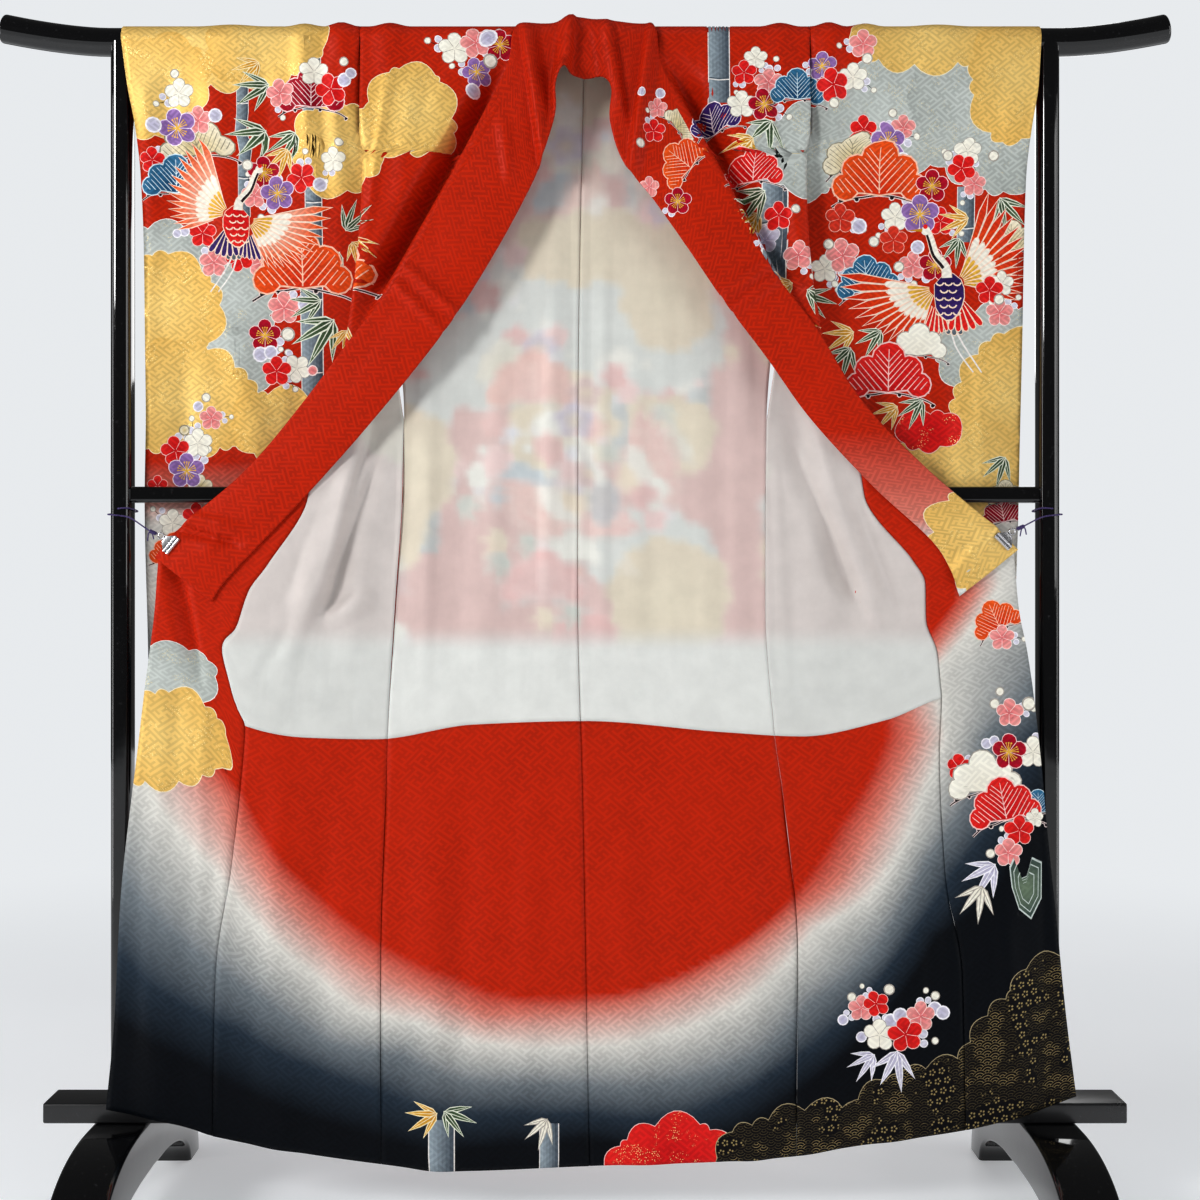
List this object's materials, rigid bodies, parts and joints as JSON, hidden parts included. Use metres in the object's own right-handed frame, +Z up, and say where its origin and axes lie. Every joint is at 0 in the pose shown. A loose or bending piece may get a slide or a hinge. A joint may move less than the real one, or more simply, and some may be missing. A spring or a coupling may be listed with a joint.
{
  "type": "furisode kimono on kimono stand",
  "caption": "Long-sleeved lined kimono hung open over a lacquered stand, with its fronts turned out and held by clips and ties.",
  "frame": {"origin": "on the floor under the middle of the stand", "axes": "+Z up, +X along the bar to the viewer's right, -Y towards the viewer who sees the open fronts"},
  "size_m": [1.686, 0.57, 1.7374],
  "materials": {
    "printed_silk": "dyed figured silk, soft satin sheen",
    "collar_silk": "red figured silk, soft satin sheen",
    "white_lining": "thin white plain silk",
    "dyed_lining": "figured silk shaded from red through white to navy",
    "black_lacquer": "high-gloss black lacquer",
    "clip_steel": "bright plated steel",
    "purple_cord": "twisted purple cord"
  },
  "bodies": {
    "root": {"body_left": "printed_silk", "body_right": "printed_silk", "overlap_left": "printed_silk", "overlap_right": "printed_silk", "sleeve_left": "printed_silk", "sleeve_right": "printed_silk", "collar": "collar_silk", "lining_upper_back_left": "white_lining", "lining_upper_back_right": "white_lining", "lining_upper_front_left": "white_lining", "lining_upper_front_right": "white_lining", "lining_lower_back_left": "dyed_lining", "lining_lower_back_right": "dyed_lining", "lining_lower_front_left": "dyed_lining", "lining_lower_front_right": "dyed_lining", "lining_overlap_left": "dyed_lining", "lining_overlap_right": "dyed_lining", "stand_top_bar": "black_lacquer", "stand_post_left": "black_lacquer", "stand_post_right": "black_lacquer", "stand_middle_rail": "black_lacquer", "stand_floor_beam": "black_lacquer", "stand_foot_left": "black_lacquer", "stand_foot_right": "black_lacquer", "clip_left": "clip_steel", "clip_right": "clip_steel", "clip_ring_left": "clip_steel", "clip_ring_right": "clip_steel", "tie_left": "purple_cord", "tie_right": "purple_cord"}
  },
  "joints": []
}
